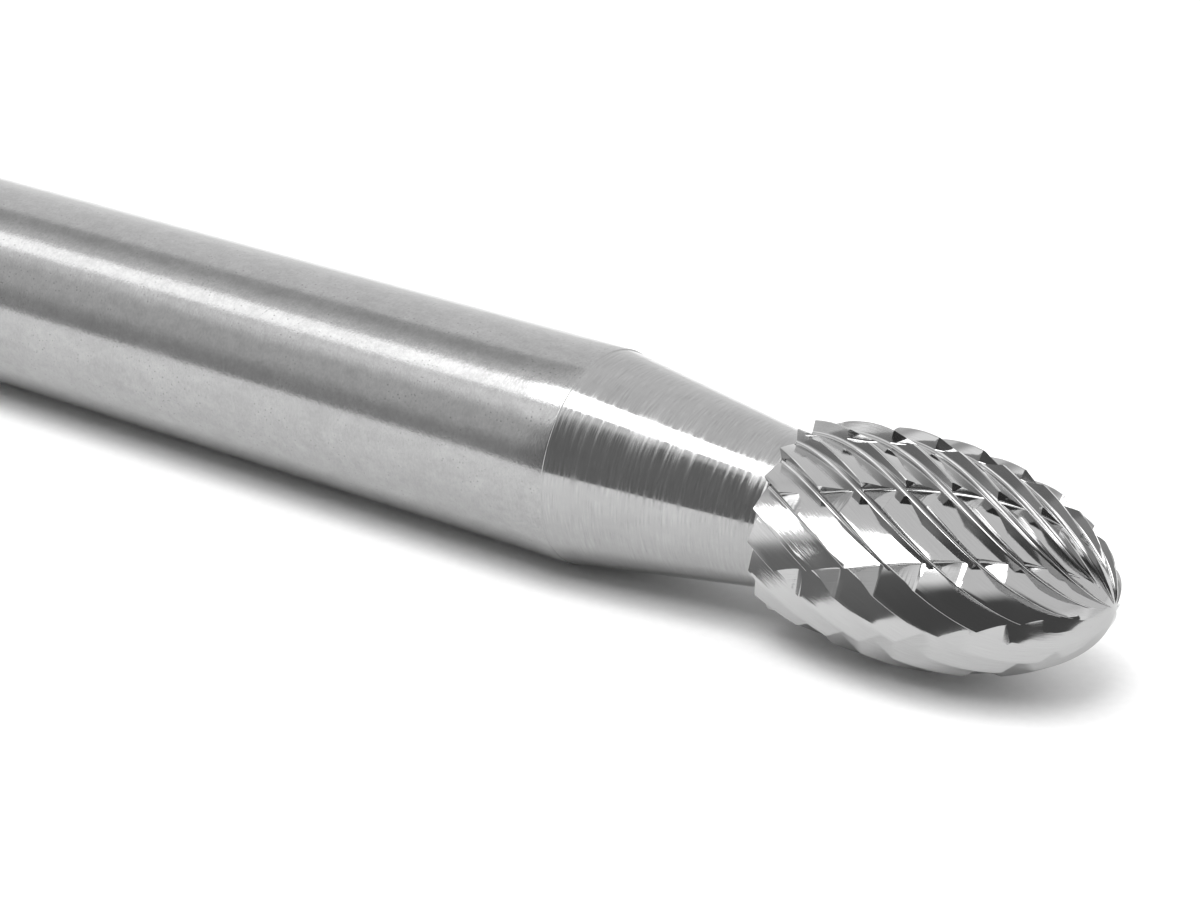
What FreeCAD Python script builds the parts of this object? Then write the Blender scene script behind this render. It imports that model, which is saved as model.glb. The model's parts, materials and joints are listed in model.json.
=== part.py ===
"""Carbide rotary burr, the cutter that a die grinder holds in its collet.

Three pieces: a steel shank with a tapered neck, a thin disc of braze metal,
and a carbide head with a double cut: right-hand flutes crossed by left-hand
chip-breaker grooves.  Millimetres.  The axis lies along +X, the origin is the
centre of the shank's rear end, and the nose points to +X.
"""
import FreeCAD
import Part
import Sketcher
import math
import os

from FreeCAD import Vector

# ---- driving dimensions: alias, value, what it is --------------------------------
DIMENSIONS = [
    ("overall_length", 50.8, "rear end to nose"),
    ("shank_diameter", 6.35, "ground cylinder that the collet grips"),
    ("taper_length", 6.35, "cone between the cylinder and the head"),
    ("neck_diameter", 4.3, "small end of the cone, where the head is brazed on"),
    ("rear_chamfer", 0.4, "chamfer round the shank's rear end"),
    ("ground_step", 0.03, "the turned cone starts this much below the cylinder"),
    ("braze_thickness", 0.1, "disc of silver braze"),
    ("head_length", 9.5, "back face to nose"),
    ("head_diameter", 6.3, "over the tooth crests at the widest place"),
    ("head_back_diameter", 5.4, "over the tooth crests at the back face"),
    ("widest_station", 3.5, "back face to the widest place"),
    ("nose_flat_diameter", 0.5, "flat left at the very tip"),
    ("flute_count", 18, "right-hand flutes, an even number"),
    ("flute_lead", 33.6, "length along the surface for one full turn of a flute"),
    ("flute_depth", 0.50, "crest to root at the widest place"),
    ("flute_face_angle", 1.5, "degrees of turn taken by the steep face of a tooth"),
    ("flute_phase", 114.3, "degrees from +Y to the first crest at the back face"),
    ("breaker_count", 8, "left-hand chip-breaker grooves"),
    ("breaker_lead", 53.0, "length along the surface for one full turn of a groove"),
    ("breaker_depth", 0.40, "crest to groove root at the widest place"),
    ("breaker_face_angle", 0.8, "degrees from groove root to the end of its steep wall"),
    ("breaker_slope_angle", 26.0, "degrees from groove root to the end of its gentle wall"),
    ("breaker_phase", 191.1, "degrees from +Y to the first groove root at the back face"),
]

FULL_TURN = 360.0
REAR_STATIONS = 5       # sections of the head between its back face and widest place
FRONT_STATIONS = 13     # sections of the head between its widest place and the nose
FINE_STEPS = 20         # steps between two sections when the surface is measured

DEPTH_FADE = 0.5        # flute depth follows the radius to this power towards the nose
SHORT_TOOTH_FROM = 0.55  # share of the widest radius where every other tooth starts to sink
SHORT_TOOTH_TO = 0.25   # share of the widest radius where it has merged with the flute
SUNK_CREST = 0.52       # depth of a sunk crest, as a share of the flute depth
SUNK_ROOT = 0.48        # depth of the root behind it, as a share of the flute depth

GROOVE_OVERHANG = 0.6   # the grooves start this far behind the back face
GROOVE_OVERRUN = 0.1    # and run this far past the nose
GROOVE_END_SHARE = 0.14  # share of the widest radius where the grooves stop
GROOVE_OUTSIDE = 1.15   # groove walls end on this multiple of the head's radius
GROOVE_FADE_FROM = -0.3  # a groove starts to sink in at this distance from the back face
GROOVE_FADE_TO = 1.9    # and has its full depth from this one on


def fill_sheet(document):
    """Write the driving dimensions into a spreadsheet, one aliased cell each."""
    sheet = document.addObject("Spreadsheet::Sheet", "dimensions")
    for row, (alias, value, meaning) in enumerate(DIMENSIONS, start=1):
        sheet.set(f"A{row}", alias)
        sheet.set(f"B{row}", str(value))
        sheet.set(f"C{row}", meaning)
        sheet.setAlias(f"B{row}", alias)
    document.recompute()
    return sheet


def size(alias):
    """The value of one cell, for shapes that are worked out in this file."""
    return float(sheet.get(alias))


# ---- shank -----------------------------------------------------------------------
NECK_STATION = "dimensions.overall_length - dimensions.head_length - dimensions.braze_thickness"


def join_corners(sketch, corners):
    """Draw a closed outline of straight lines through the corners."""
    count = len(corners)
    for index, corner in enumerate(corners):
        sketch.addGeometry(Part.LineSegment(corner, corners[(index + 1) % count]), False)
    for index in range(count):
        sketch.addConstraint(Sketcher.Constraint("Coincident", index, 2, (index + 1) % count, 1))


def drive(sketch, constraint, expression):
    """Add a dimension to a sketch and bind it to the sheet."""
    index = sketch.addConstraint(constraint)
    sketch.setExpression(f"Constraints[{index}]", expression)


def draw_shank_profile(body):
    """Half section of the shank: rear end, cylinder, small step, cone, neck face, axis."""
    sketch = body.newObject("Sketcher::SketchObject", "shank_profile")
    plane = next(item for item in body.Origin.OriginFeatures if item.Role == "XY_Plane")
    sketch.AttachmentSupport = [(plane, "")]
    sketch.MapMode = "FlatFace"
    radius = size("shank_diameter") / 2
    neck_station = size("overall_length") - size("head_length") - size("braze_thickness")
    cone_station = neck_station - size("taper_length")
    rear_face, cylinder, step, cone, neck_face, axis = range(6)
    join_corners(sketch, [
        Vector(0, 0),
        Vector(0, radius),
        Vector(cone_station, radius),
        Vector(cone_station, radius - size("ground_step")),
        Vector(neck_station, size("neck_diameter") / 2),
        Vector(neck_station, 0),
    ])
    origin = (-1, 1)
    sketch.addConstraint(Sketcher.Constraint("Coincident", rear_face, 1, *origin))
    for line in (rear_face, step, neck_face):
        sketch.addConstraint(Sketcher.Constraint("Vertical", line))
    for line in (cylinder, axis):
        sketch.addConstraint(Sketcher.Constraint("Horizontal", line))
    drive(sketch, Sketcher.Constraint("DistanceY", rear_face, 1, rear_face, 2, radius),
          "dimensions.shank_diameter / 2")
    drive(sketch, Sketcher.Constraint("DistanceX", cylinder, 1, cylinder, 2, cone_station),
          f"{NECK_STATION} - dimensions.taper_length")
    drive(sketch, Sketcher.Constraint("DistanceY", step, 2, step, 1, size("ground_step")),
          "dimensions.ground_step")
    drive(sketch, Sketcher.Constraint("DistanceX", *origin, cone, 2, neck_station), NECK_STATION)
    drive(sketch, Sketcher.Constraint("DistanceY", *origin, cone, 2, size("neck_diameter") / 2),
          "dimensions.neck_diameter / 2")
    return sketch


def make_shank(document):
    """Ground bar with a turned cone at the front and a chamfer round the rear end."""
    body = document.addObject("PartDesign::Body", "shank")
    body.Label = "shank"
    sketch = draw_shank_profile(body)
    turned = body.newObject("PartDesign::Revolution", "turned_bar")
    turned.Profile = sketch
    turned.ReferenceAxis = (sketch, ["H_Axis"])
    turned.Angle = FULL_TURN
    document.recompute()
    rear_edge = next(
        f"Edge{number}" for number, edge in enumerate(turned.Shape.Edges, start=1)
        if edge.BoundBox.XMax < size("rear_chamfer") and edge.Closed
    )
    chamfer = body.newObject("PartDesign::Chamfer", "rear_end_chamfer")
    chamfer.Base = (turned, [rear_edge])
    chamfer.Size = size("rear_chamfer")
    chamfer.setExpression("Size", "dimensions.rear_chamfer")
    body.Tip = chamfer
    body.Placement = FreeCAD.Placement()
    return body


# ---- braze -----------------------------------------------------------------------
def make_braze_disc(document):
    """Thin disc of silver braze between the neck and the head."""
    disc = document.addObject("Part::Cylinder", "braze_disc")
    disc.Label = "braze_disc"
    disc.setExpression("Radius", "dimensions.neck_diameter / 2")
    disc.setExpression("Height", "dimensions.braze_thickness")
    disc.Placement = FreeCAD.Placement(Vector(), FreeCAD.Rotation(Vector(0, 1, 0), 90))
    disc.setExpression("Placement.Base.x", NECK_STATION)
    return disc


# ---- head ------------------------------------------------------------------------
def head_sections(overhang, overrun, end_share):
    """Sections of the egg-shaped head, from the back to the nose.

    Each is the axial place, the radius as a share of the widest radius, and the
    length along the surface from the back face.  Behind the widest place the side
    is a parabola, in front of it a quarter of an ellipse.
    """
    widest = size("widest_station")
    back_share = size("head_back_diameter") / size("head_diameter")
    nose_share = size("nose_flat_diameter") / size("head_diameter")
    reach = (size("head_length") - widest) / math.sqrt(1 - nose_share ** 2) + overrun
    outline = []
    rear_count = REAR_STATIONS * FINE_STEPS
    for step in range(rear_count):
        place = -overhang + (widest + overhang) * step / rear_count
        lag = (widest - place) / widest
        outline.append((place, 1 - (1 - back_share) * lag ** 2))
    front_count = FRONT_STATIONS * FINE_STEPS
    for step in range(front_count + 1):
        angle = math.acos(end_share) * step / front_count
        outline.append((widest + reach * math.sin(angle), math.cos(angle)))
    radius = size("head_diameter") / 2
    length = -overhang
    sections = []
    for step, (place, share) in enumerate(outline):
        if step:
            previous_place, previous_share = outline[step - 1]
            length += math.hypot(place - previous_place, radius * (share - previous_share))
        if step % FINE_STEPS == 0:
            sections.append((place, share, length))
    return sections


def rail(sections, radius_at, start_angle, turn_per_length):
    """A curve along the head at a radius given by radius_at(place, share), turning as it goes."""
    points = []
    for place, share, length in sections:
        angle = math.radians(start_angle + turn_per_length * length)
        radius = radius_at(place, share)
        points.append(Vector(place, radius * math.cos(angle), radius * math.sin(angle)))
    curve = Part.BSplineCurve()
    last = len(points) - 1
    curve.interpolate(Points=points, Parameters=[index / last for index in range(last + 1)])
    return curve


def strip_between(first, second):
    """The face swept by a straight line that joins two rails."""
    surface = Part.BSplineSurface()
    surface.buildFromPolesMultsKnots(
        [first.getPoles(), second.getPoles()],
        [2, 2], first.getMultiplicities(),
        [0.0, 1.0], first.getKnots(),
        False, False, 1, first.Degree,
    )
    return surface.toShape()


def solid_from_rails(rails):
    """Close a ring of rails with strips between neighbours and a flat face at each end."""
    faces = [strip_between(side, rails[index - 1]) for index, side in enumerate(rails)]
    for corners in ([side.StartPoint for side in rails], [side.EndPoint for side in rails]):
        faces.append(Part.Face(Part.makePolygon(corners + corners[:1])))
    shell = Part.makeShell(faces)
    shell.sewShape()
    solid = Part.Solid(shell)
    if solid.Volume < 0:
        solid.reverse()
    return solid


def sinking(share):
    """How far every other tooth has sunk: 0 along the body, 1 near the nose."""
    travel = (SHORT_TOOTH_FROM - share) / (SHORT_TOOTH_FROM - SHORT_TOOTH_TO)
    travel = min(max(travel, 0.0), 1.0)
    return travel * travel * (3 - 2 * travel)


def tooth_radius(share, depth_share, sunk_depth_share):
    """Radius at a depth that changes from one share of the flute depth to another."""
    depth = size("flute_depth") * share ** DEPTH_FADE
    blend = depth_share + (sunk_depth_share - depth_share) * sinking(share)
    return size("head_diameter") / 2 * share - depth * blend


def fluted_solid():
    """Egg with right-hand saw-tooth flutes; every other tooth sinks before the nose."""
    sections = head_sections(0.0, 0.0, size("nose_flat_diameter") / size("head_diameter"))
    turn_per_length = FULL_TURN / size("flute_lead")
    pitch = FULL_TURN / size("flute_count")
    rails = []
    for tooth in range(int(size("flute_count"))):
        short = tooth % 2
        crest_angle = size("flute_phase") + tooth * pitch
        crest_sunk = SUNK_CREST if short else 0.0
        root_sunk = SUNK_ROOT if short else 1.0
        rails.append(rail(sections, lambda place, share: tooth_radius(share, 0.0, crest_sunk),
                          crest_angle, turn_per_length))
        rails.append(rail(sections, lambda place, share: tooth_radius(share, 1.0, root_sunk),
                          crest_angle + size("flute_face_angle"), turn_per_length))
    return solid_from_rails(rails)


def groove_root_radius(place, share):
    """Radius of a groove root. The grooves sink in gradually behind the widest place."""
    sunk_in = (place - GROOVE_FADE_FROM) / (GROOVE_FADE_TO - GROOVE_FADE_FROM)
    depth = size("breaker_depth") * min(max(sunk_in, 0.0), 1.0)
    return (size("head_diameter") / 2 - depth) * share


def groove_outer_radius(place, share):
    """Radius where the walls of the grooves end, clear outside the teeth."""
    return size("head_diameter") / 2 * GROOVE_OUTSIDE * share


def groove_envelope():
    """Larger egg with left-hand grooves: what the chip-breakers leave of the head."""
    sections = head_sections(GROOVE_OVERHANG, GROOVE_OVERRUN, GROOVE_END_SHARE)
    turn_per_length = -FULL_TURN / size("breaker_lead")
    rails = []
    for groove in range(int(size("breaker_count"))):
        root_angle = size("breaker_phase") + groove * FULL_TURN / size("breaker_count")
        steep_angle = root_angle - size("breaker_face_angle")
        gentle_angle = root_angle + size("breaker_slope_angle")
        rails.append(rail(sections, groove_outer_radius, steep_angle, turn_per_length))
        rails.append(rail(sections, groove_root_radius, root_angle, turn_per_length))
        rails.append(rail(sections, groove_outer_radius, gentle_angle, turn_per_length))
    return solid_from_rails(rails)


def make_burr_head(document):
    """The material that the flutes and the chip-breaker grooves both leave."""
    fluted = document.addObject("Part::Feature", "fluted_blank")
    fluted.Shape = fluted_solid()
    fluted.Placement = FreeCAD.Placement()
    grooved = document.addObject("Part::Feature", "grooved_envelope")
    grooved.Shape = groove_envelope()
    grooved.Placement = FreeCAD.Placement()
    head = document.addObject("Part::Common", "burr_head")
    head.Label = "burr_head"
    head.Base = fluted
    head.Tool = grooved
    head.Placement = FreeCAD.Placement()
    head.setExpression("Placement.Base.x", "dimensions.overall_length - dimensions.head_length")
    return head


# ---- checks and files ------------------------------------------------------------
def check(document, pieces):
    """Stop if a feature failed or a piece has no sound solid."""
    for item in document.Objects:
        if "Invalid" in item.State or "Error" in item.State:
            raise RuntimeError(f"{item.Name} failed: {item.State}")
    for piece in pieces:
        if piece.Shape.isNull() or not piece.Shape.isValid():
            raise RuntimeError(f"{piece.Label} has no valid shape")
        if len(piece.Shape.Solids) != 1:
            raise RuntimeError(f"{piece.Label} has {len(piece.Shape.Solids)} solids")


def write(pieces):
    """Write one STEP file for each piece."""
    os.makedirs("parts", exist_ok=True)
    for piece in pieces:
        piece.Shape.exportStep(os.path.join("parts", piece.Label + ".step"))
        print(f"{piece.Label}: {piece.Shape.Volume:.2f} mm3")


document = FreeCAD.newDocument("rotary_burr")
sheet = fill_sheet(document)
pieces = [make_shank(document), make_braze_disc(document), make_burr_head(document)]
document.recompute()
check(document, pieces)
write(pieces)
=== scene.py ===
"""Looks of a carbide rotary burr lying on a white surface.

Metres, in the CAD model's frame: the axis is +X, the nose points to +X, +Z is up.
Sizes of the tool itself are written in millimetres and scaled once, by MM.
"""
import bmesh
import bpy
import json
import math
from mathutils import Matrix, Vector


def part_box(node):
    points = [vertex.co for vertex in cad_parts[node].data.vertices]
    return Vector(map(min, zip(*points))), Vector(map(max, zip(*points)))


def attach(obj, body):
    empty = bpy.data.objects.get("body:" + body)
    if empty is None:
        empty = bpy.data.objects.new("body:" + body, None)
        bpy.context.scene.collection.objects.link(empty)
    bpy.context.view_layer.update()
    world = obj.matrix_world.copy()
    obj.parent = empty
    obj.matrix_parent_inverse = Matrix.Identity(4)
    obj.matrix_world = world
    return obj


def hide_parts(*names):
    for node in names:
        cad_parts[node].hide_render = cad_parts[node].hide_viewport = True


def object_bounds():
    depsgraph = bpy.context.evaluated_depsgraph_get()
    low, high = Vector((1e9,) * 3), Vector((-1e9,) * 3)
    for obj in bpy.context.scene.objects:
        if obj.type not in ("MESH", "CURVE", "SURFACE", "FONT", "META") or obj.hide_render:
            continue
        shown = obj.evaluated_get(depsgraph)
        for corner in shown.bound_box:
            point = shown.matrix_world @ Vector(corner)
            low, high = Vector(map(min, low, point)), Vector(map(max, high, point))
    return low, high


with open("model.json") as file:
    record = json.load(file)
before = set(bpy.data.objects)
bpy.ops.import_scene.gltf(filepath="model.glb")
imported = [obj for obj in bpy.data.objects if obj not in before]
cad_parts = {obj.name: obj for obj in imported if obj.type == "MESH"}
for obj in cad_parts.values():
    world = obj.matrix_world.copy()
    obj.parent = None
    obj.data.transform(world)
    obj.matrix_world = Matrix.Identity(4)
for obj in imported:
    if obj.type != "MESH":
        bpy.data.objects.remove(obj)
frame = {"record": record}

cad_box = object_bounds()
MM = 0.001
FULL_TURN = 360.0

# ---- places taken from the frame ---------------------------------------------------
SHANK_LOW, SHANK_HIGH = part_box("shank")
HEAD_LOW, HEAD_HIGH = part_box("burr_head")
REAR_END = SHANK_LOW.x / MM
NECK_FACE = SHANK_HIGH.x / MM
HEAD_BACK = HEAD_LOW.x / MM
HEAD_LENGTH = (HEAD_HIGH.x - HEAD_LOW.x) / MM
SHANK_RADIUS = frame["record"]["mounts"][0]["dims"]["r_mm"]
FLOOR_HEIGHT = -SHANK_RADIUS * MM

# ---- shank and braze, millimetres --------------------------------------------------
TAPER_LENGTH = 6.35
NECK_RADIUS = 2.15
REAR_CHAMFER = 0.4
EDGE_ROUNDING = 0.06     # on the edges of the rear end
FACE_MARGIN = 0.15       # an extra ring this far inside an end face keeps its middle flat
GROUND_STEP = 0.03       # the turned cone starts this much below the cylinder
STEP_LEAN = 0.010        # the step's face leans forward by this much
STEP_RUN = 0.015         # the cone starts this far past the end of the cylinder
STEP_ROUNDING = 0.02
BRAZE_FILLET = 0.16      # height of the fillet at the head's back face
BRAZE_CREEP = 0.06       # how far the molten braze crept up the cone
BRAZE_SUNK = 0.01        # its thin edge ends this far under the cone's surface
BRAZE_HIDDEN_SHARE = 0.9 # share of the neck's radius where its hidden side leaves the neck face
LATHE_SEGMENTS = 256
CYLINDER_RINGS = 24
CONE_RINGS = 12
FILLET_RINGS = 8
ARC_STEPS = 5            # straight steps in a rounded edge, where nothing else is said

# ---- head, millimetres and degrees -------------------------------------------------
HEAD_RADIUS = 3.15
HEAD_BACK_RADIUS = 2.70
WIDEST_STATION = 3.5     # from the head's back face
NOSE_FLAT_RADIUS = 0.25
FLUTES = 18
FLUTE_LEAD = 33.6        # one full turn along the surface
FLUTE_DEPTH = 0.50
FLUTE_FACE_ANGLE = 1.5   # turn from a crest to the bottom of the flute beside it
FLUTE_PHASE = 114.3
BREAKERS = 8             # chip-breaker grooves
BREAKER_LEAD = 53.0
BREAKER_DEPTH = 0.40
BREAKER_FACE_ANGLE = 0.8     # turn from a groove's bottom to the top of its steep side
BREAKER_SLOPE_ANGLE = 26.0   # turn from a groove's bottom to the top of its gentle side
BREAKER_PHASE = 191.1

# ---- how finely the head is made ----------------------------------------------------
REAR_STATIONS = 26
FRONT_STATIONS = 70
FACET_STRIPS = 6         # strips across the wide facet of a tooth
CREST_STEPS = 4
ROOT_STEPS = 8
SHARP_ANGLE = math.radians(28)   # edges that turn by more than this are shown crisp

# ---- shape of teeth and grooves, millimetres unless a share --------------------------
DEPTH_FADE = 0.5         # flute depth follows the radius to this power
SHORT_TOOTH_FROM = 0.55  # share of the widest radius where every other tooth starts to sink
SHORT_TOOTH_TO = 0.25    # share of the widest radius where it has sunk
FACET_HOLLOW = 0.04      # how hollow the facets are ground, as a share of the flute depth
ROOT_RADIUS = 0.13       # in the bottom of a flute
CREST_RADIUS = 0.032     # on the edge of a tooth
GROOVE_OUTSIDE = 1.15    # groove walls end on this multiple of the head's radius
GROOVE_ROOT_RADIUS = 0.05   # in the bottom of a chip-breaker groove
GROOVE_FADE_FROM = -0.3  # a groove starts to sink in at this station
GROOVE_FADE_TO = 1.9     # and has its full depth from this one on
GROOVE_OVERHANG = 0.6    # the grooved egg starts this far behind the head's back face
GROOVE_OVERRUN = 0.1     # and is drawn this much longer past its widest place
GROOVE_END_SHARE = 0.14  # and ends where its radius is this share of the widest

# ---- finishes -------------------------------------------------------------------------
NOISE_SPREAD = (0.3, 0.7)        # nearly all values of a noise lie between these
WIDE_SPREAD = (0.25, 0.75)       # a little wider, for a calmer tone
# noise cells per metre, along the axis and in the two directions across it
GROUND_GRAIN = (14000, 8000, 8000)
TURNED_LINES = (9000, 150, 150)
BROKEN_LINES = (16000, 1300, 1300)
BLOTCHES = (450, 900, 900)
UNEVEN_PATCHES = (2200, 3000, 3000)
SPECK_CELLS = (6500, 7500, 7500)
BRAZE_RIPPLES = (6000, 6000, 6000)
PAPER_FIBRES = (4000, 4000, 4000)
# noise cells per millimetre, along a cut and across it
CUT_LINES = (0.5, 26.0, 1.0)
FINE_LINES = (1.2, 70.0, 1.0)
FACET_WAVES = (1.1, 1.6, 1.0)
LINED_PATCHES = (0.45, 0.9, 1.0)

SPECK_REACH = (0.08, 0.24)       # solid and faint reach of a speck, in cells
SPECKY_BLOTCHES = (0.42, 0.60)   # values of the blotches between which specks start to show
SPECKY_PATCHES = (0.36, 0.54)    # and of the uneven patches
STEEL_RELIEF = 0.0030            # millimetres
STEEL_GREY = (0.34, 0.375)
GRAIN_CONTRAST = 0.12            # grey of the cylinder's grain and patches, light to dark
CONE_CONTRAST = (0.03, 0.22)     # the same of the turning marks, by patch
MARKED_PATCHES = (0.36, 0.62)    # patch values between which the turning marks get stronger
SPECK_DARKNESS = 0.16
SPECK_PIT = 0.3                  # depth of a speck, as a share of the relief
TURNED_HEIGHT = 0.6
BROKEN_HEIGHT = 0.4
CYLINDER_ROUGHNESS = (0.12, 0.17)
CONE_ROUGHNESS = (0.08, 0.20)
CONE_DULL_LINES = (0.42, 0.68)   # values of the turned lines between which they turn dull

CARBIDE_RELIEF = 0.0010          # millimetres
CARBIDE_GREY = (0.385, 0.425)
CARBIDE_ROUGHNESS = (0.07, 0.13)
DULL_PATCHES = (0.40, 0.62)
LINED_FROM = (0.42, 0.60)        # patch values between which a facet turns lined
FAINT_LINES = 0.10
BACK_LINES = 2.2                 # strength of the lines next to the back face
BACK_LINED = (1.6, 3.0)          # millimetres from the back face over which they fade
FINE_HEIGHT = 0.35
WAVE_HEIGHT = 1.2

BRAZE_RELIEF = 0.01              # millimetres
BRAZE_GREY = (0.50, 0.62)
BRAZE_ROUGHNESS = 0.28
BRAZE_BUMP = 0.5
PAPER_WHITE = (0.89, 0.91)

# ---- stage: lengths in millimetres for the camera, in metres for the rest --------------
CAMERA_AZIMUTH = 34.475          # degrees from -Y towards +X
CAMERA_ELEVATION = 25.382
CAMERA_DISTANCE = 87.85
CAMERA_AIM = (34.70, 0.0, 0.18)
LENS = 92.7
SENSOR = 36.0
CLIP = (0.005, 20.0)             # metres
FLOOR_HALF = 1.5
FLOOR_CELLS = 6
SOFTBOX_HEIGHT = 0.30
STRIP = (-0.124, -0.028)
SOFTBOXES = (                    # name, range in x, range in y, radiance
    ("near_softbox", (-0.135, 0.0), STRIP, 5.5),
    ("far_softbox", (-0.600, -0.135), STRIP, 1.35),
    ("square_softbox", (0.0, 0.132), (-0.242, -0.022), 6.0),
)

# ---- room: radiance by direction. Azimuth is from -Y towards +X, angles are in degrees --
ROOM_LEVEL = 1.56
FAR_SIDE_LEVEL = 1.14            # also the ceiling's
FAR_SIDE = (0.10, 2.0)           # in y of the direction
FAR_SIDE_SOFTNESS = 0.15
CEILING_RISE = (0.45, 0.60)      # in z of the direction
CEILING_EDGE = (-0.6, -0.4)      # in y per height
DULL_LEVEL = 0.68                # a dull patch of ceiling, behind the rear end
DULL_END = (-0.52, -0.42)        # in x per height
DULL_NEAR_EDGE = (-0.05, 0.30)   # in y per height
DULL_FAR_EDGE = (0.50, 0.54)
LOWEST_HEIGHT = 0.02             # keeps the division by height finite
FRONT_LOW_LEVEL = 0.50
FRONT_HIGH_LEVEL = 0.84
FRONT_CLIMB = (10, 24)           # elevations between which the front gets lighter
FRONT_ELEVATIONS = (-5, 34)
FRONT_AZIMUTHS = (-62, 70)
FRONT_SOFTNESS = 12
DARK_LEFT_LEVEL = 0.29
DARK_RIGHT_LEVEL = 0.125
DARK_TURN = (-8, 24)             # azimuths between which the dark zone gets darker
DARK_ELEVATIONS = (-20, 44)
DARK_AZIMUTHS = (-20, 75)
DARK_LIFT = 10                   # its left part reaches this much higher
DARK_LIFT_TURN = (-14, -4)       # azimuths between which the lift ends
DARK_TOP_SOFTNESS = 10
DARK_SIDE_SOFTNESS = 12


# ==== mesh helpers ===================================================================
def finish_mesh(name, built):
    """Turn a bmesh into a linked object with crisp edges and smooth faces, in metres."""
    bmesh.ops.recalc_face_normals(built, faces=built.faces)
    for face in built.faces:
        face.smooth = True
    for edge in built.edges:
        edge.smooth = edge.is_manifold and edge.calc_face_angle(0.0) < SHARP_ANGLE
    built.transform(Matrix.Scale(MM, 4))
    mesh = bpy.data.meshes.new(name)
    built.to_mesh(mesh)
    built.free()
    piece = bpy.data.objects.new(name, mesh)
    bpy.context.scene.collection.objects.link(piece)
    return piece


def ring_point(place, radius, angle):
    """A point at an axial place, with its angle counted from +Y towards +Z."""
    return Vector((place, radius * math.cos(angle), radius * math.sin(angle)))


def lathe(name, outline):
    """Turn an outline of (place, radius), which starts and ends on the axis, about the axis."""
    built = bmesh.new()
    rings = []
    for place, radius in outline:
        if radius == 0:
            rings.append([built.verts.new((place, 0, 0))])
            continue
        angles = [2 * math.pi * step / LATHE_SEGMENTS for step in range(LATHE_SEGMENTS)]
        rings.append([built.verts.new(ring_point(place, radius, angle)) for angle in angles])
    for near, far in zip(rings, rings[1:]):
        for step in range(LATHE_SEGMENTS):
            after = (step + 1) % LATHE_SEGMENTS
            if len(near) == 1:
                built.faces.new((near[0], far[after], far[step]))
            elif len(far) == 1:
                built.faces.new((near[step], near[after], far[0]))
            else:
                built.faces.new((near[step], near[after], far[after], far[step]))
    return finish_mesh(name, built)


def rounded(corner, before, after, radius, steps=ARC_STEPS):
    """Points of an arc that rounds off one corner of an outline."""
    corner, before, after = (Vector(point) for point in (corner, before, after))
    arrive = (before - corner).normalized()
    leave = (after - corner).normalized()
    half_angle = arrive.angle(leave) / 2
    setback = radius / math.tan(half_angle)
    centre = corner + (arrive + leave).normalized() * (radius / math.sin(half_angle))
    start = corner + arrive * setback - centre
    end = corner + leave * setback - centre
    points = []
    for step in range(steps + 1):
        share = step / steps
        direction = (start * (1 - share) + end * share).normalized()
        points.append(tuple(centre + direction * radius))
    return points


# ==== shank and braze =================================================================
def make_shank():
    """Ground cylinder, tiny step, turned cone and neck face, with a chamfered rear end."""
    cone_start = NECK_FACE - TAPER_LENGTH
    cone_radius = SHANK_RADIUS - GROUND_STEP
    inner = (REAR_END, SHANK_RADIUS - REAR_CHAMFER)
    outer = (REAR_END + REAR_CHAMFER, SHANK_RADIUS)
    centre = (REAR_END, 0.0)
    ring = (cone_start, SHANK_RADIUS)
    outline = [centre, (REAR_END, inner[1] - FACE_MARGIN)]
    outline += rounded(inner, centre, outer, EDGE_ROUNDING)
    outline += rounded(outer, inner, ring, EDGE_ROUNDING)
    for step in range(1, CYLINDER_RINGS):
        outline.append((outer[0] + (cone_start - outer[0]) * step / CYLINDER_RINGS, SHANK_RADIUS))
    step_foot = (cone_start + STEP_LEAN, cone_radius)
    outline += rounded(ring, outer, step_foot, STEP_ROUNDING, 3)
    for step in range(CONE_RINGS + 1):
        share = step / CONE_RINGS
        outline.append((cone_start + STEP_RUN + (TAPER_LENGTH - STEP_RUN) * share,
                        cone_radius + (NECK_RADIUS - cone_radius) * share))
    outline.append((NECK_FACE, NECK_RADIUS - FACE_MARGIN))
    outline.append((NECK_FACE, 0.0))
    return lathe("steel_shank", outline)


def make_braze():
    """Disc between neck and head, with the small fillet that the molten braze left round it."""
    cone_slope = (SHANK_RADIUS - GROUND_STEP - NECK_RADIUS) / TAPER_LENGTH
    start = (NECK_FACE - BRAZE_CREEP, NECK_RADIUS + cone_slope * BRAZE_CREEP)
    hidden_edge = NECK_RADIUS * BRAZE_HIDDEN_SHARE
    outline = [(NECK_FACE, 0.0), (NECK_FACE, hidden_edge), (start[0], start[1] - BRAZE_SUNK)]
    for step in range(FILLET_RINGS + 1):
        turn = math.pi / 2 * step / FILLET_RINGS
        place = start[0] + (HEAD_BACK - start[0]) * math.sin(turn)
        radius = start[1] + BRAZE_FILLET * (1 - math.cos(turn))
        outline.append((place, radius))
    outline.append((HEAD_BACK, 0.0))
    return lathe("braze_fillet", outline)


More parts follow.
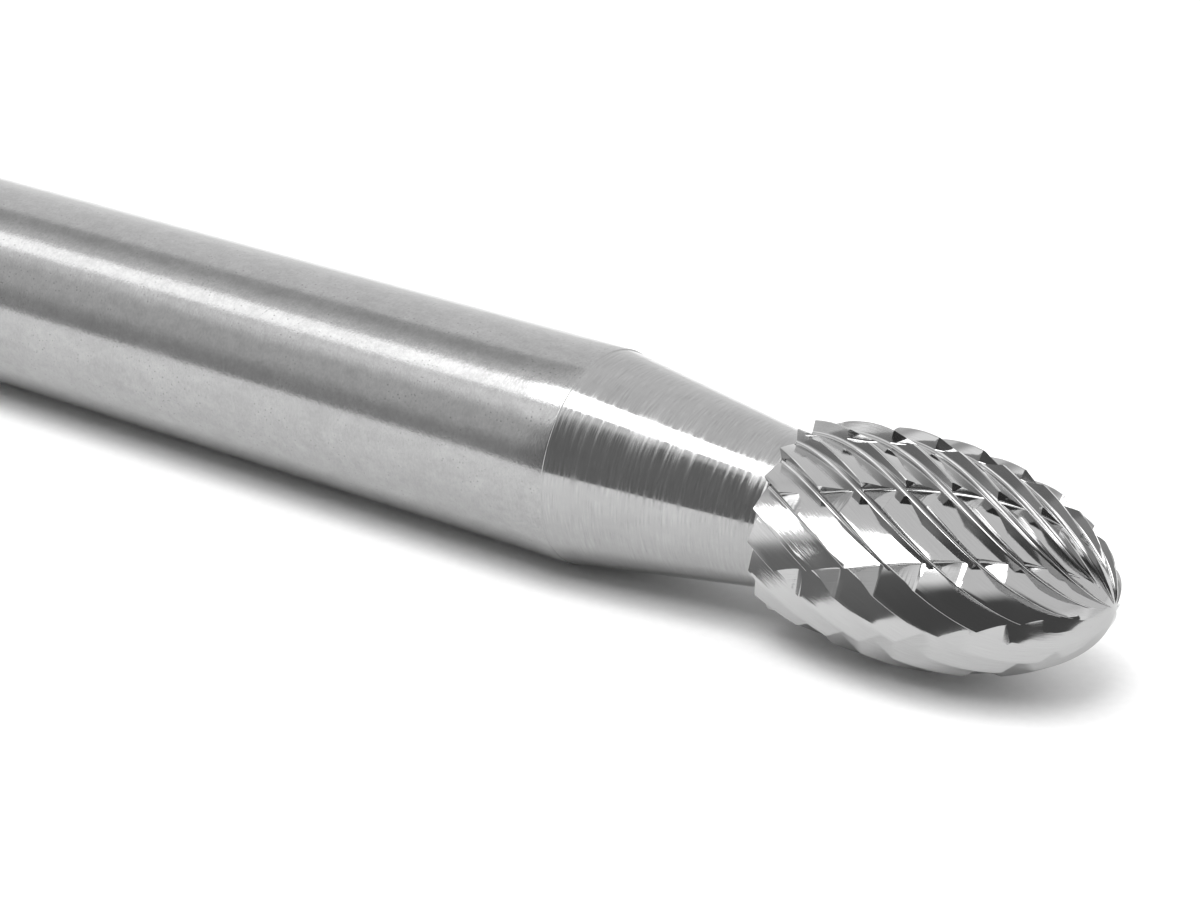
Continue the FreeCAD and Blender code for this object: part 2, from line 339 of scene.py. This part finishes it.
# ==== head ==============================================================================
def head_stations(overhang, overrun, end_share):
    """(place, share of the widest radius, length along the surface) from back to nose."""
    back_share = HEAD_BACK_RADIUS / HEAD_RADIUS
    nose_share = NOSE_FLAT_RADIUS / HEAD_RADIUS
    reach = (HEAD_LENGTH - WIDEST_STATION) / math.sqrt(1 - nose_share ** 2) + overrun
    stations = []
    for step in range(REAR_STATIONS):
        place = -overhang + (WIDEST_STATION + overhang) * step / REAR_STATIONS
        lag = (WIDEST_STATION - place) / WIDEST_STATION
        stations.append([place, 1 - (1 - back_share) * lag ** 2])
    for step in range(FRONT_STATIONS + 1):
        angle = math.acos(end_share) * step / FRONT_STATIONS
        stations.append([WIDEST_STATION + reach * math.sin(angle), math.cos(angle)])
    length = -overhang
    previous = None
    for station in stations:
        if previous:
            length += math.hypot(station[0] - previous[0], HEAD_RADIUS * (station[1] - previous[1]))
        previous = station[:2]
        station.append(length)
    return stations


def sinking(share):
    """How far every other tooth has sunk: 0 along the body, 1 near the nose."""
    travel = (SHORT_TOOTH_FROM - share) / (SHORT_TOOTH_FROM - SHORT_TOOTH_TO)
    travel = min(max(travel, 0.0), 1.0)
    return travel * travel * (3 - 2 * travel)


def tooth_outline(pitch):
    """One tooth at the widest place: (width, depth) in millimetres from its crest to the next."""
    wall = math.radians(FLUTE_FACE_ANGLE) * HEAD_RADIUS
    width = math.radians(pitch) * HEAD_RADIUS
    crest = (0.0, 0.0, 0.0)
    root = (wall, FLUTE_DEPTH, 0.0)
    facet_end = (width, 0.0, 0.0)
    next_root = (width + wall, FLUTE_DEPTH, 0.0)
    previous_facet = (wall - width, FLUTE_DEPTH, 0.0)
    half_arc = CREST_STEPS // 2
    outline = rounded(crest, previous_facet, root, CREST_RADIUS, CREST_STEPS)[half_arc:]
    outline += rounded(root, crest, facet_end, ROOT_RADIUS, ROOT_STEPS)
    start = Vector(outline[-1])
    for strip in range(1, FACET_STRIPS):
        share = strip / FACET_STRIPS
        point = start.lerp(Vector(facet_end), share)
        hollow = 4 * share * (1 - share)
        outline.append((point.x, point.y + FACET_HOLLOW * FLUTE_DEPTH * hollow))
    outline += rounded(facet_end, root, next_root, CREST_RADIUS, CREST_STEPS)[:half_arc]
    return [(point[0], point[1]) for point in outline]


def depth_at(outline, width, period):
    """Depth of an outline at a width, with the outline repeated at every period."""
    points = [(outline[-1][0] - period, outline[-1][1])] + outline
    points.append((outline[0][0] + period, outline[0][1]))
    for near, far in zip(points, points[1:]):
        if width <= far[0]:
            share = (width - near[0]) / (far[0] - near[0])
            return near[1] + (far[1] - near[1]) * share
    return points[-1][1]


def flute_section():
    """One ring of rails: (angle, depth along the body, depth near the nose)."""
    pitch = FULL_TURN / FLUTES
    single = tooth_outline(pitch)
    double = tooth_outline(2 * pitch)
    pitch_width = math.radians(pitch) * HEAD_RADIUS
    section = []
    for tooth in range(FLUTES):
        offset = pitch_width * (tooth % 2)
        for width, depth in single:
            merged = depth_at(double, width + offset, 2 * pitch_width)
            turn = math.degrees(width / HEAD_RADIUS)
            section.append((FLUTE_PHASE + tooth * pitch + turn, depth, merged))
    return section


def skin(rings, lengths, name):
    """Closed solid through equal rings of points, with a map of length and width in millimetres."""
    built = bmesh.new()
    grain = built.loops.layers.uv.new("grain")
    count = len(rings[0])
    widths = [0.0]
    widest = max(rings, key=lambda ring: sum(point.yz.length for point in ring))
    for index in range(count):
        step = (widest[(index + 1) % count] - widest[index]).length
        widths.append(widths[-1] + step)
    verts = [[built.verts.new(point) for point in ring] for ring in rings]
    for row in range(len(rings) - 1):
        for index in range(count):
            after = (index + 1) % count
            face = built.faces.new((
                verts[row][index], verts[row][after], verts[row + 1][after], verts[row + 1][index]))
            corners = ((row, index), (row, index + 1), (row + 1, index + 1), (row + 1, index))
            for loop, (along, across) in zip(face.loops, corners):
                loop[grain].uv = (lengths[along], widths[across])
    for row in (0, -1):
        centre = sum((point for point in rings[row]), Vector()) / count
        hub = built.verts.new((centre.x, 0, 0))
        for index in range(count):
            face = built.faces.new((hub, verts[row][index], verts[row][(index + 1) % count]))
            for loop in face.loops:
                loop[grain].uv = (loop.vert.co.y, loop.vert.co.z)
    bmesh.ops.triangulate(built, faces=built.faces)
    bmesh.ops.recalc_face_normals(built, faces=built.faces)
    mesh = bpy.data.meshes.new(name)
    built.to_mesh(mesh)
    built.free()
    solid = bpy.data.objects.new(name, mesh)
    bpy.context.scene.collection.objects.link(solid)
    return solid


def fluted_blank():
    """Egg with right-hand saw-tooth flutes; every other tooth sinks before the nose."""
    stations = head_stations(0.0, 0.0, NOSE_FLAT_RADIUS / HEAD_RADIUS)
    section = flute_section()
    rings = []
    for place, share, length in stations:
        sunk = sinking(share)
        fade = share ** DEPTH_FADE
        ring = []
        for angle, single, merged in section:
            cut = fade * (single + (merged - single) * sunk)
            turned = math.radians(angle + FULL_TURN * length / FLUTE_LEAD)
            ring.append(ring_point(place, HEAD_RADIUS * share - cut, turned))
        rings.append(ring)
    return skin(rings, [station[2] for station in stations], "fluted_blank")


def groove_section(depth):
    """Points of the larger, grooved egg at its widest place, as (angle, radius)."""
    section = []
    outside = HEAD_RADIUS * GROOVE_OUTSIDE
    for groove in range(BREAKERS):
        root_angle = math.radians(BREAKER_PHASE + groove * FULL_TURN / BREAKERS)
        steep_angle = root_angle - math.radians(BREAKER_FACE_ANGLE)
        gentle_angle = root_angle + math.radians(BREAKER_SLOPE_ANGLE)
        steep_top = ring_point(0, outside, steep_angle)
        gentle_top = ring_point(0, outside, gentle_angle)
        root = ring_point(0, HEAD_RADIUS - depth, root_angle)
        points = [steep_top] + rounded(root, steep_top, gentle_top, GROOVE_ROOT_RADIUS) + [gentle_top]
        section += [(math.atan2(point[2], point[1]), math.hypot(point[1], point[2])) for point in points]
    return section


def grooved_egg():
    """Larger egg with left-hand grooves: what the chip-breakers leave of the head."""
    stations = head_stations(GROOVE_OVERHANG, GROOVE_OVERRUN, GROOVE_END_SHARE)
    rings = []
    for place, share, length in stations:
        turned = -math.radians(FULL_TURN * length / BREAKER_LEAD)
        sunk_in = (place - GROOVE_FADE_FROM) / (GROOVE_FADE_TO - GROOVE_FADE_FROM)
        section = groove_section(BREAKER_DEPTH * min(max(sunk_in, 0.0), 1.0))
        rings.append([ring_point(place, radius * share, angle + turned) for angle, radius in section])
    return skin(rings, [station[2] for station in stations], "grooved_egg")


def make_head():
    """What the flutes and the chip-breaker grooves both leave of the blank."""
    blank = fluted_blank()
    egg = grooved_egg()
    common = blank.modifiers.new("chip_breakers", "BOOLEAN")
    common.operation = "INTERSECT"
    common.solver = "EXACT"
    common.object = egg
    bpy.context.view_layer.update()
    shaped = blank.evaluated_get(bpy.context.evaluated_depsgraph_get())
    built = bmesh.new()
    built.from_mesh(shaped.to_mesh())
    shaped.to_mesh_clear()
    for helper in (blank, egg):
        bpy.data.objects.remove(helper)
    built.transform(Matrix.Translation((HEAD_BACK, 0, 0)))
    return finish_mesh("carbide_head", built)


# ==== materials =============================================================================
class Graph:
    """A short way to write a node tree."""

    def __init__(self, tree):
        self.tree = tree
        tree.nodes.clear()

    def add(self, kind, **settings):
        node = self.tree.nodes.new(kind)
        for key, value in settings.items():
            setattr(node, key, value)
        return node

    def feed(self, socket, value):
        """Set a socket to a number, or link another node's output to it."""
        if isinstance(value, bpy.types.NodeSocket):
            self.tree.links.new(value, socket)
        else:
            socket.default_value = value

    def math(self, operation, first, second=0.0):
        node = self.add("ShaderNodeMath", operation=operation)
        for socket, value in zip(node.inputs, (first, second)):
            self.feed(socket, value)
        return node.outputs[0]

    def plus(self, first, second):
        return self.math("ADD", first, second)

    def minus(self, first, second):
        return self.math("SUBTRACT", first, second)

    def times(self, first, second):
        return self.math("MULTIPLY", first, second)

    def mix(self, base, cover, level):
        """Base level where cover is 0, the given level where it is 1."""
        return self.plus(base, self.times(self.minus(level, base), cover))

    def stretched(self, coordinates, scale):
        node = self.add("ShaderNodeVectorMath", operation="MULTIPLY")
        self.feed(node.inputs[0], coordinates)
        self.feed(node.inputs[1], scale)
        return node.outputs[0]

    def noise(self, coordinates, cells, detail=2.0, roughness=0.5):
        """Noise from 0 to 1, with the given cells to a unit of each coordinate."""
        node = self.add("ShaderNodeTexNoise")
        self.feed(node.inputs["Vector"], self.stretched(coordinates, cells))
        self.feed(node.inputs["Scale"], 1.0)
        self.feed(node.inputs["Detail"], detail)
        self.feed(node.inputs["Roughness"], roughness)
        return node.outputs["Fac"]

    def dots(self, coordinates, solid_reach, faint_reach):
        """Small round spots, one to a unit cell, 1 inside the solid reach and 0 past the faint one."""
        cells = self.add("ShaderNodeTexVoronoi")
        self.feed(cells.inputs["Vector"], coordinates)
        self.feed(cells.inputs["Scale"], 1.0)
        return self.remap(cells.outputs["Distance"], solid_reach, faint_reach, 1.0, 0.0)

    def remap(self, value, from_low, from_high, to_low, to_high):
        """Carry one range over to another, gently at both ends and flat outside."""
        node = self.add("ShaderNodeMapRange", interpolation_type="SMOOTHSTEP")
        for socket, number in zip(node.inputs, (value, from_low, from_high, to_low, to_high)):
            self.feed(socket, number)
        return node.outputs[0]

    def beyond(self, value, low, high):
        """0 below low, 1 above high."""
        return self.remap(value, low, high, 0.0, 1.0)

    def short_of(self, value, low, high):
        """1 below low, 0 above high."""
        return self.minus(1.0, self.beyond(value, low, high))

    def within(self, value, limits, soft):
        """1 between the limits, falling to 0 over a soft margin outside each."""
        low, high = limits
        return self.times(self.beyond(value, low - soft, low), self.short_of(value, high, high + soft))

    def bump(self, height, distance, strength=1.0):
        node = self.add("ShaderNodeBump")
        self.feed(node.inputs["Strength"], strength)
        self.feed(node.inputs["Distance"], distance)
        self.feed(node.inputs["Height"], height)
        return node.outputs[0]

    def metal(self, grey, roughness, normal):
        """A bare metal surface as the material's output."""
        shader = self.add("ShaderNodeBsdfPrincipled")
        tone = self.add("ShaderNodeCombineColor")
        for socket in tone.inputs:
            self.feed(socket, grey)
        self.feed(shader.inputs["Base Color"], tone.outputs[0])
        self.feed(shader.inputs["Metallic"], 1.0)
        self.feed(shader.inputs["Roughness"], roughness)
        self.feed(shader.inputs["Normal"], normal)
        output = self.add("ShaderNodeOutputMaterial")
        self.tree.links.new(shader.outputs[0], output.inputs["Surface"])


def new_material(name):
    material = bpy.data.materials.new(name)
    material.use_nodes = True
    return material, Graph(material.node_tree)


def steel_material():
    """Ground cylinder with fine grain and specks; turning marks on the cone."""
    material, graph = new_material("shank_steel")
    place = graph.add("ShaderNodeTexCoord").outputs["Object"]
    split = graph.add("ShaderNodeSeparateXYZ")
    graph.feed(split.inputs[0], place)
    cone_start = (NECK_FACE - TAPER_LENGTH) * MM
    on_cone = graph.beyond(split.outputs[0], cone_start, cone_start + STEP_ROUNDING * MM)

    ground = graph.noise(place, GROUND_GRAIN, detail=3.0, roughness=0.65)
    turned = graph.noise(place, TURNED_LINES, detail=3.0, roughness=0.6)
    broken = graph.noise(place, BROKEN_LINES, detail=2.0, roughness=0.6)
    blotch = graph.noise(place, BLOTCHES, detail=4.0, roughness=0.65)
    uneven = graph.noise(place, UNEVEN_PATCHES, detail=3.0, roughness=0.6)

    specky = graph.times(graph.beyond(blotch, *SPECKY_BLOTCHES), graph.beyond(uneven, *SPECKY_PATCHES))
    speck = graph.times(graph.dots(graph.stretched(place, SPECK_CELLS), *SPECK_REACH), specky)
    grinding = graph.minus(ground, graph.times(speck, SPECK_PIT))
    turning = graph.plus(graph.times(turned, TURNED_HEIGHT), graph.times(broken, BROKEN_HEIGHT))
    normal = graph.bump(graph.mix(grinding, on_cone, turning), STEEL_RELIEF * MM)

    cylinder_roughness = graph.remap(blotch, *NOISE_SPREAD, *CYLINDER_ROUGHNESS)
    cone_roughness = graph.remap(turned, *CONE_DULL_LINES, *CONE_ROUGHNESS)
    roughness = graph.mix(cylinder_roughness, on_cone, cone_roughness)

    grain = graph.times(graph.minus(graph.plus(ground, uneven), 1.0), GRAIN_CONTRAST)
    cylinder_stain = graph.minus(grain, graph.times(speck, SPECK_DARKNESS))
    cone_contrast = graph.remap(uneven, *MARKED_PATCHES, *CONE_CONTRAST)
    cone_stain = graph.times(graph.minus(broken, 0.5), cone_contrast)
    bare = graph.remap(blotch, *WIDE_SPREAD, *STEEL_GREY)
    grey = graph.plus(bare, graph.mix(cylinder_stain, on_cone, cone_stain))
    graph.metal(grey, roughness, normal)
    return material


def carbide_material():
    """Diamond-ground facets: nearly a mirror, with fine lines along each cut on some of them."""
    material, graph = new_material("ground_carbide")
    grain = graph.add("ShaderNodeUVMap", uv_map="grain").outputs[0]
    split = graph.add("ShaderNodeSeparateXYZ")
    graph.feed(split.inputs[0], grain)
    from_back = split.outputs[0]

    lines = graph.noise(grain, CUT_LINES, detail=3.0, roughness=0.6)
    fine = graph.noise(grain, FINE_LINES, detail=2.0)
    waves = graph.noise(grain, FACET_WAVES, detail=1.0)
    patch = graph.noise(grain, LINED_PATCHES, detail=1.0)

    near_back = graph.remap(from_back, *BACK_LINED, BACK_LINES, FAINT_LINES)
    lined = graph.math("MAXIMUM", graph.remap(patch, *LINED_FROM, FAINT_LINES, 1.0), near_back)
    marks = graph.times(graph.plus(lines, graph.times(fine, FINE_HEIGHT)), lined)
    normal = graph.bump(graph.plus(marks, graph.times(waves, WAVE_HEIGHT)), CARBIDE_RELIEF * MM)
    roughness = graph.remap(patch, *DULL_PATCHES, *CARBIDE_ROUGHNESS)
    grey = graph.remap(fine, *NOISE_SPREAD, *CARBIDE_GREY)
    graph.metal(grey, roughness, normal)
    return material


def braze_material():
    """Silver braze: paler and duller than the steel, frozen with a faint ripple."""
    material, graph = new_material("silver_braze")
    place = graph.add("ShaderNodeTexCoord").outputs["Object"]
    ripple = graph.noise(place, BRAZE_RIPPLES, detail=3.0)
    grey = graph.remap(ripple, *NOISE_SPREAD, *BRAZE_GREY)
    graph.metal(grey, BRAZE_ROUGHNESS, graph.bump(ripple, BRAZE_RELIEF * MM, strength=BRAZE_BUMP))
    return material


def floor_material():
    """Matt white paper."""
    material, graph = new_material("white_paper")
    place = graph.add("ShaderNodeTexCoord").outputs["Object"]
    fibre = graph.noise(place, PAPER_FIBRES, detail=3.0)
    shader = graph.add("ShaderNodeBsdfDiffuse")
    tone = graph.add("ShaderNodeCombineColor")
    for socket in tone.inputs:
        graph.feed(socket, graph.remap(fibre, *NOISE_SPREAD, *PAPER_WHITE))
    graph.feed(shader.inputs["Color"], tone.outputs[0])
    output = graph.add("ShaderNodeOutputMaterial")
    material.node_tree.links.new(shader.outputs[0], output.inputs["Surface"])
    return material


# ==== stage ====================================================================================
def make_camera():
    """A long lens close to the tool, looking down at it from its side and nose end."""
    data = bpy.data.cameras.new("camera")
    data.lens = LENS
    data.sensor_width = SENSOR
    data.clip_start, data.clip_end = CLIP
    camera = bpy.data.objects.new("camera", data)
    bpy.context.scene.collection.objects.link(camera)
    azimuth = math.radians(CAMERA_AZIMUTH)
    elevation = math.radians(CAMERA_ELEVATION)
    back = Vector((math.sin(azimuth) * math.cos(elevation),
                   -math.cos(azimuth) * math.cos(elevation),
                   math.sin(elevation)))
    camera.location = (Vector(CAMERA_AIM) + back * CAMERA_DISTANCE) * MM
    camera.rotation_mode = "QUATERNION"
    camera.rotation_quaternion = (-back).to_track_quat("-Z", "Y")
    bpy.context.scene.camera = camera


def make_floor():
    """White sheet that the cylinder rests on."""
    built = bmesh.new()
    bmesh.ops.create_grid(built, x_segments=FLOOR_CELLS, y_segments=FLOOR_CELLS, size=FLOOR_HALF)
    mesh = bpy.data.meshes.new("floor")
    built.to_mesh(mesh)
    built.free()
    floor = bpy.data.objects.new("floor", mesh)
    floor.location = (cad_box[1].x / 2, 0, FLOOR_HEIGHT)
    mesh.materials.append(floor_material())
    bpy.context.scene.collection.objects.link(floor)


def make_softbox(name, x_range, y_range, radiance):
    """A rectangular soft light that faces straight down. Its power gives it the radiance."""
    data = bpy.data.lights.new(name, "AREA")
    data.shape = "RECTANGLE"
    data.size = x_range[1] - x_range[0]
    data.size_y = y_range[1] - y_range[0]
    data.energy = radiance * math.pi * data.size * data.size_y
    light = bpy.data.objects.new(name, data)
    light.location = (sum(x_range) / 2, sum(y_range) / 2, SOFTBOX_HEIGHT)
    bpy.context.scene.collection.objects.link(light)


def in_radians(degrees):
    return [math.radians(angle) for angle in degrees]


def room_level(graph):
    """Radiance of the room by direction: light all round, darker on the camera's side."""
    split = graph.add("ShaderNodeSeparateXYZ")
    graph.feed(split.inputs[0], graph.add("ShaderNodeTexCoord").outputs["Generated"])
    x, y, z = split.outputs
    azimuth = graph.math("ARCTAN2", x, graph.times(y, -1.0))
    elevation = graph.math("ARCSINE", z)
    height = graph.math("MAXIMUM", z, LOWEST_HEIGHT)
    across = graph.math("DIVIDE", y, height)
    along = graph.math("DIVIDE", x, height)

    level = graph.mix(ROOM_LEVEL, graph.within(y, FAR_SIDE, FAR_SIDE_SOFTNESS), FAR_SIDE_LEVEL)
    ceiling = graph.times(graph.beyond(z, *CEILING_RISE), graph.beyond(across, *CEILING_EDGE))
    level = graph.mix(level, ceiling, FAR_SIDE_LEVEL)

    dull_strip = graph.times(graph.beyond(across, *DULL_NEAR_EDGE), graph.short_of(across, *DULL_FAR_EDGE))
    dull = graph.times(graph.short_of(along, *DULL_END), dull_strip)
    level = graph.mix(level, dull, DULL_LEVEL)

    softness = math.radians(FRONT_SOFTNESS)
    front = graph.times(graph.within(elevation, in_radians(FRONT_ELEVATIONS), softness),
                        graph.within(azimuth, in_radians(FRONT_AZIMUTHS), softness))
    front_level = graph.remap(elevation, *in_radians(FRONT_CLIMB), FRONT_LOW_LEVEL, FRONT_HIGH_LEVEL)
    level = graph.mix(level, front, front_level)

    top_softness = math.radians(DARK_TOP_SOFTNESS)
    side_softness = math.radians(DARK_SIDE_SOFTNESS)
    lift = graph.remap(azimuth, *in_radians(DARK_LIFT_TURN), math.radians(DARK_LIFT), 0.0)
    lowered = graph.minus(elevation, lift)
    dark = graph.times(graph.within(lowered, in_radians(DARK_ELEVATIONS), top_softness),
                       graph.within(azimuth, in_radians(DARK_AZIMUTHS), side_softness))
    dark_level = graph.remap(azimuth, *in_radians(DARK_TURN), DARK_LEFT_LEVEL, DARK_RIGHT_LEVEL)
    return graph.mix(level, dark, dark_level)


def make_room():
    """The world behind everything: white light whose strength is the room's level."""
    world = bpy.data.worlds.new("room")
    bpy.context.scene.world = world
    world.use_nodes = True
    graph = Graph(world.node_tree)
    level = room_level(graph)
    background = graph.add("ShaderNodeBackground")
    graph.feed(background.inputs["Strength"], level)
    graph.feed(background.inputs["Color"], (1, 1, 1, 1))
    output = graph.add("ShaderNodeOutputWorld")
    world.node_tree.links.new(background.outputs[0], output.inputs["Surface"])


# ==== put it together ===========================================================================
bpy.context.scene.view_settings.view_transform = "Standard"
make_camera()
make_floor()
make_room()
for softbox in SOFTBOXES:
    make_softbox(*softbox)

shank = make_shank()
shank.data.materials.append(steel_material())
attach(shank, "root")
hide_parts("shank")

braze = make_braze()
braze.data.materials.append(braze_material())
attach(braze, "root")
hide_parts("braze_disc")

head = make_head()
head.data.materials.append(carbide_material())
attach(head, "root")
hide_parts("burr_head")
